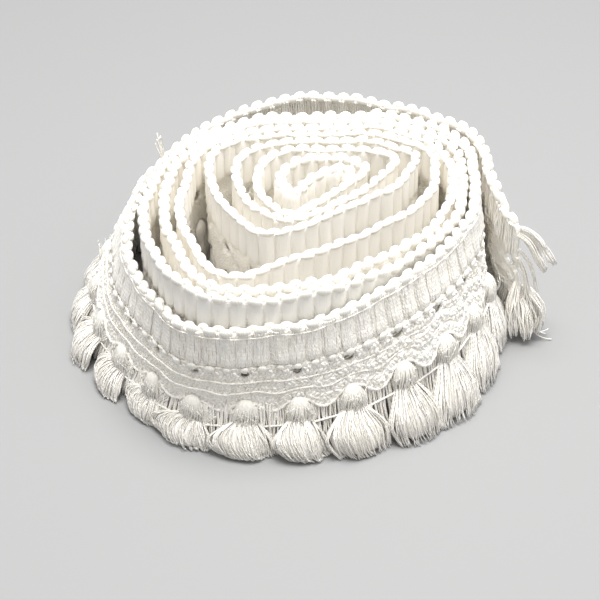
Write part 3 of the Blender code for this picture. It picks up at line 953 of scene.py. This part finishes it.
def fuzzCurves(here, count, random):
    # stray hairs that stand a little off the head and lie down over the neck
    t = np.linspace(0, 1, 6)[None, :]
    turn = random.uniform(-0.3, math.pi + 0.3, (count, 1)) + random.normal(0, 0.5, (count, 1)) * t
    level = random.uniform(0.15, 1, (count, 1)) - random.uniform(0.25, 0.8, (count, 1)) * t
    bulge = np.sin(math.pi * np.clip(1 - 0.85 * np.clip(level, -0.2, 1), 0.1, 0.95)) ** 0.6
    off = 0.3 + random.gamma(2, 0.32, (count, 1)) * np.sin(math.pi * (0.2 + 0.8 * t))
    wide = np.maximum(bulge * tassel["headHalfWidth"], tassel["neckHalfWidth"]) + off
    thick = np.maximum(bulge * tassel["headHalfThick"], tassel["neckHalfThick"]) + off
    wave = 0.5 * np.sin(5 * t + phases(random, count, 1))
    return np.stack([wide * np.cos(turn) + wave, thick * np.sin(turn),
                     here["neck"] + 11.5 * level], axis=-1)


def fanCurves(here, count, random):
    # yarns that fan from the neck, on the side of the next tassel, up to the band's lobe
    f = (np.arange(count)[:, None] + 0.5) / count
    top = np.concatenate([4 + 6.6 * f + random.normal(0, 0.25, f.shape), -2.2 + 0.6 * f,
                          here["neck"] + 9.4 - 4.6 * f + random.normal(0, 0.3, f.shape)], axis=1)
    bottom = np.concatenate([2.6 + 0.6 * f, 1.7 - 0.6 * f, here["neck"] + 0.6 - 2.4 * f], axis=1)
    bend = 0.5 * (top + bottom) + np.concatenate([0.2 - 0.9 * f, 1.3 + 0 * f, 0.4 - 1.6 * f],
                                                 axis=1)
    t = np.linspace(0, 1, 6)[None, :, None]
    return (top[:, None] * (1 - t) ** 2 + 2 * bend[:, None] * t * (1 - t)
            + bottom[:, None] * t**2)


def outerTassels():
    random = np.random.default_rng(7)
    places, shapes = [], []
    strands = {label: [] for label in ("skirts", "heads", "cores", "fans", "fuzz", "ties")}
    ring = np.linspace(0, 2 * math.pi, 13)
    for number in range(trim["tassels"]):
        here = tasselPlace(number)
        shape = skirtShape(here, random)
        places.append(here)
        shapes.append(shape)
        neck = here["neck"]
        made = {
            "skirts": skirtCurves(here, shape, tassel["skirtYarns"], random, tassel["steps"]),
            "heads": headCurves(here, tassel["headYarns"], random),
            "cores": np.array([[(0, out, neck + rise) for out, rise, _, _ in tassel["headCore"]]]),
            "fans": fanCurves(here, tassel["fanYarns"], random),
            "fuzz": fuzzCurves(here, tassel["fuzzHairs"], random),
            "ties": np.stack([np.stack([4.6 * np.cos(ring), 3.3 * np.sin(ring),
                                        neck + rise + 0.4 * np.sin(ring)], axis=-1)
                              for rise in tassel["tieRises"]])}
        for label, curves in made.items():
            strands[label].append(placeLocal(here, curves))
    across = np.array([(-here["ny"], here["nx"], 0) for here in places])

    def lay(name, label, half, sides, seed, material="skirtYarn", first=0, last=trim["tassels"]):
        curves = np.concatenate(strands[label][first:last])
        each = len(curves) // (last - first)
        return layYarns(name, curves, half, sides, seed, material,
                        across[first:last].repeat(each, axis=0))

    split = trim["tassels"] // 2
    thin = tassel["skirtYarn"] * np.linspace(1, 0.85, tassel["steps"])
    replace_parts(lay("skirts_a", "skirts", thin, 3, 31, last=split), "tassel_fringe")
    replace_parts(lay("skirts_b", "skirts", thin, 3, 31 + split, first=split), "tassel_fringe")
    skirtBodies(places, shapes)
    core = np.array(tassel["headCore"])
    lay("heads", "heads", tassel["headYarn"], 4, 34, "puffCottonPaintedShade")
    lay("head_cores", "cores", (core[:, 2], core[:, 3]), 12, 35, "puffCottonPaintedShade")
    lay("fans", "fans", tassel["fanYarn"], 3, 36)
    lay("head_fuzz", "fuzz", tassel["fuzzHair"], 3, 37)
    layYarns("ties", np.concatenate(strands["ties"]), tassel["tieYarn"], 6, 39)


outerTassels()


def neckYarn():
    # the thin yarn that runs from neck to neck
    spots = []
    for number in range(trim["tassels"]):
        here = tasselPlace(number)
        spots.extend(tasselSpot(here, side, out, here["neck"] + rise)
                     for side, out, rise in tassel["neckSpots"])
    spots = np.array(spots)
    where = np.arange(len(spots))
    fine = np.linspace(0, len(spots) - 1, len(spots) * 4)
    curve = np.stack([np.interp(fine, where, spots[:, k]) for k in range(3)], axis=-1)[None]
    layYarns("neck_yarn", curve, tassel["neckYarn"], 6, 41)


neckYarn()


def backingFringe():
    # straight yarns that hang behind the outer tassels, from the band's lobes to the floor
    random = np.random.default_rng(8)
    count = trim["outerPitches"] * tassel["backYarns"]
    along = (np.arange(count) + 0.5 + random.uniform(-0.3, 0.3, count))
    along = np.clip(along / tassel["backYarns"] * pitch, 1, threads["end"])[:, None]
    x, y, height, lean, reach = stripAt(along)
    nx, ny = outwardAt(along)
    level = height - np.sqrt(1 - (lean / trim["width"]) ** 2) * trim["width"]
    t = np.linspace(0, 1, 7)[None, :]
    out = lean + random.uniform(-0.9, 0.3, (count, 1)) + 0.4 * np.sin(
        5 * t + phases(random, count, 1))
    out = out + 2.4 * ease(t / 0.25) + 0.55 * reach * ease((t - 0.2) / 0.8)
    side = 1.3 * t * np.sin(4 * t + phases(random, count, 1))
    layYarns("backing_fringe", beside(x, y, nx, ny, side, out, level + (0.4 - level) * t),
             tassel["backYarn"], 3, 45, "skirtYarn",
             across=np.concatenate([-ny, nx, 0 * nx], axis=1))


backingFringe()


def innerTassels():
    # the other turns' tassels, flatter and coarser, because little of them shows
    random = np.random.default_rng(9)
    skirts, heads, across = [], [], []
    rise, wide, thick = np.array(tassel["innerHead"]).T
    for number in range(trim["tassels"], trim["pitches"]):
        here = tasselPlace(number)
        here.update(out=here["out"] - tassel["headOut"] - 0.4, reach=0.4, room=pitch,
                    lean=0)
        curves = skirtCurves(here, skirtShape(here, random), tassel["innerYarns"], random,
                             tassel["innerSteps"], 0.9, 0.4)
        skirts.append(placeLocal(here, curves))
        heads.append(tasselSpot(here, 0 * rise, 0, np.maximum(here["neck"] + rise, 0.3)))
        across.append((-here["ny"], here["nx"], 0))
    across = np.array(across)
    layYarns("inner_skirts", np.concatenate(skirts), tassel["innerYarn"], 3, 51, "skirtYarn",
             across=across.repeat(tassel["innerYarns"], axis=0))
    layYarns("inner_heads", np.stack(heads), (wide, thick), 10, 52, "skirtYarn", across=across)


innerTassels()


# The frayed cut end: clumps of yarn, each along a curve of four points in mm.
fray = {
    "steps": 12,
    # curve; radius at start, middle and tip; yarns; half thickness
    "clumps": (
        (((91, -9.5, 50), (94.5, -12.5, 49.5), (99, -15, 43), (102.6, -15.5, 34.6)),
         (1.6, 2.3, 1.3), 22, 0.3),
        (((91, -9.5, 52), (96.5, -12.5, 52), (102, -14, 46), (107.2, -15, 36.8)),
         (0.8, 1.3, 0.8), 9, 0.3),
        (((91, -9.5, 53), (95.5, -11.5, 53.6), (99, -13, 50), (102.4, -14, 45)),
         (0.7, 1.1, 0.6), 7, 0.3),
        (((91, -9.8, 42), (96, -13, 39), (100, -15, 30), (101.4, -15.5, 20)),
         (0.7, 0.8, 0.5), 6, 0.28),
        (((91, -9.8, 38), (95, -13, 33), (96.5, -15, 22), (97.5, -15, 10)),
         (0.8, 1.5, 3), 14, 0.28),
        (((90.6, -9.6, 31), (92.5, -11.5, 27), (93, -13, 20), (93.6, -14, 12)),
         (0.8, 1.2, 2.4), 9, 0.28),
        (((92, -10, 25), (90.5, -15, 21), (89, -18.5, 12), (91, -20, 3)),
         (1.4, 3.3, 1.5), 42, 0.3),
        (((94, -10.5, 24), (98, -13.5, 21), (102, -16.5, 12), (100.6, -19, 3)),
         (1.4, 3.6, 1.8), 46, 0.3),
        (((93, -11, 20), (95, -16.5, 17), (96.5, -20.5, 9), (96, -22.5, 2.6)),
         (1.4, 3.1, 1.5), 38, 0.3),
        (((96, -9, 21), (101, -9, 18), (104, -11, 10), (103.4, -13.5, 2.8)),
         (1.4, 2.7, 1.5), 30, 0.3),
        (((98, -14, 13), (97.5, -19, 4), (103, -17, 2.2), (108.3, -15.6, 1.6)),
         (0.5, 0.3, 0.2), 1, 0.26),
        (((97.5, -14.5, 12), (97, -20, 3), (103, -18.6, 1.2), (108.2, -18.8, 0.6)),
         (0.5, 0.3, 0.2), 1, 0.26),
        (((99, -14, 11), (99, -18, 4), (103.5, -17.6, 2.6), (106.6, -17.2, 0.6)),
         (0.5, 0.3, 0.2), 1, 0.26),
    ),
    # a few ends that stand up where the outer turn's thread was cut, on the left
    "stub": {"at": 11.3, "yarns": 8, "high": 10},
}


def clumpCurves(points, radii, count, random):
    t = np.linspace(0, 1, fray["steps"])
    a, b, c, d = [np.array(point) * weight[:, None] for point, weight in zip(
        points, ((1 - t) ** 3, 3 * t * (1 - t) ** 2, 3 * t**2 * (1 - t), t**3))]
    line = a + b + c + d
    ahead = np.gradient(line, axis=0)
    ahead /= np.linalg.norm(ahead, axis=1, keepdims=True)
    first = np.cross(ahead, (0, 1, 0.15))
    first /= np.linalg.norm(first, axis=1, keepdims=True)
    second = np.cross(ahead, first)
    radius = np.interp(t, (0, 0.55, 1), radii)[None, :]
    turn = goldenTurn * np.arange(count)[:, None] + 0.8 * random.normal(0, 0.5, (count, 1)) * t
    far = radius * np.sqrt((np.arange(count)[:, None] + 0.5) / count)
    wave = phases(random, count, 2)
    curl = 0.2 + 0.3 * radius
    x = far * np.cos(turn) + curl * np.sin(6.5 * t + wave[:, :1]) * t
    y = far * np.sin(turn) + curl * np.sin(5.5 * t + wave[:, 1:]) * t
    slip = 1 - random.uniform(0, 0.2, (count, 1)) * t**2
    curves = line[0] + (line - line[0])[None] * slip[..., None]
    curves = curves + first[None] * x[..., None] + second[None] * y[..., None]
    curves[..., 2] = np.maximum(curves[..., 2], 0.35)
    return curves * mm


def frayedEnd():
    random = np.random.default_rng(12)
    curves, thick = [], []
    for points, radii, count, half in fray["clumps"]:
        curves.append(clumpCurves(points, radii, count, random))
        thick.append(np.full((count, fray["steps"]), half) * random.uniform(0.85, 1.15, (count, 1)))
    stub = fray["stub"]
    along = (stub["at"] + random.uniform(-0.07, 0.07, stub["yarns"])) * pitch
    for spot in onStrip(along, 2, 1.6) / mm:
        lift = random.uniform(0.7, 1) * stub["high"]
        aside = random.normal(0, 0.9, (2, 2))
        points = (spot, spot + (aside[0][0] - 0.6, aside[0][1], 0.4 * lift),
                  spot + (aside[1][0] - 0.8, aside[1][1], 0.75 * lift),
                  spot + (aside[1][0] - 1.6, 1.3 * aside[1][1], lift + 2))
        curves.append(clumpCurves(points, (0.1, 0.1, 0.1), 1, random))
        thick.append(np.full((1, fray["steps"]), 0.3))
    piece = layYarns("frayed_yarns", np.concatenate(curves), np.concatenate(thick), 4, 61,
                     "skirtYarn")
    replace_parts(piece, "frayed_end")


frayedEnd()

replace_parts(outerBand, "wound_heading")


studio = {
    "eye": (-0.001678, -0.548745, 0.42127), "down": 37, "lens": 93, "sensor": 36,
    "key": {"place": (0.8, -0.3, 0.85), "power": 2, "size": 0.8},
    "top": {"place": (0.05, 0.1, 1.2), "power": 25, "size": 0.9},
    "aim": (0, 0, 0.04), "lightColour": (1, 0.99, 0.97),
    "horizon": 0.3, "zenith": 0.88, "skyColour": (1, 0.995, 0.985, 1),
    "floorSize": 8, "floorRough": 0.7,
    "floorColours": ((0.27, 0.272, 0.277, 1), (0.3, 0.302, 0.307, 1)),
}


def stageFloor():
    deselectAll()
    bpy.ops.mesh.primitive_plane_add(size=studio["floorSize"], location=(0, 0, 0))
    floor = bpy.context.object
    floor.name = "floor"
    material = bpy.data.materials.new("floorPaper")
    material.use_nodes = True
    tree = material.node_tree
    noise = addNode(tree, "TexNoise", {"Scale": 3})
    ramp = tree.nodes.new("ShaderNodeValToRGB")
    for element, colour in zip(ramp.color_ramp.elements, studio["floorColours"]):
        element.color = colour
    fillInputs(tree, ramp, {"Fac": noise["Fac"]})
    fillInputs(tree, tree.nodes["Principled BSDF"], {
        "Roughness": studio["floorRough"], "Base Color": ramp.outputs["Color"]})
    floor.data.materials.append(material)


def softLight(name):
    data = bpy.data.lights.new(name, "AREA")
    data.shape = "DISK"
    data.size = studio[name]["size"]
    data.energy = studio[name]["power"]
    data.color = studio["lightColour"]
    light = bpy.data.objects.new(name, data)
    bpy.context.scene.collection.objects.link(light)
    light.location = studio[name]["place"]
    away = np.array(studio[name]["place"]) - np.array(studio["aim"])
    light.rotation_euler = (math.atan2(math.hypot(away[0], away[1]), away[2]), 0,
                            math.atan2(away[1], away[0]) + math.pi / 2)


def stageStudio():
    scene = bpy.context.scene
    data = bpy.data.cameras.new("camera")
    data.lens = studio["lens"]
    data.sensor_width = studio["sensor"]
    camera = bpy.data.objects.new("camera", data)
    scene.collection.objects.link(camera)
    camera.location = studio["eye"]
    camera.rotation_euler = (math.radians(90 - studio["down"]), 0, 0)
    scene.camera = camera
    softLight("key")
    softLight("top")
    world = bpy.data.worlds.new("studio")
    scene.world = world
    world.use_nodes = True
    tree = world.node_tree
    place = addNode(tree, "TexCoord", {})
    split = addNode(tree, "SeparateXYZ", {0: place["Generated"]})
    rise = addNode(tree, "MapRange", {"To Min": studio["horizon"], "To Max": studio["zenith"],
                                      "Value": split["Z"]})
    fillInputs(tree, tree.nodes["Background"], {"Color": studio["skyColour"],
                                                "Strength": rise["Result"]})
    scene.view_settings.view_transform = "Standard"
    scene.cycles.diffuse_bounces = 20


stageFloor()
stageStudio()

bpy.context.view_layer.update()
total = sum(len(item.data.polygons) for item in bpy.data.objects if item.type == "MESH")
print("sizes written, faces in all", total)
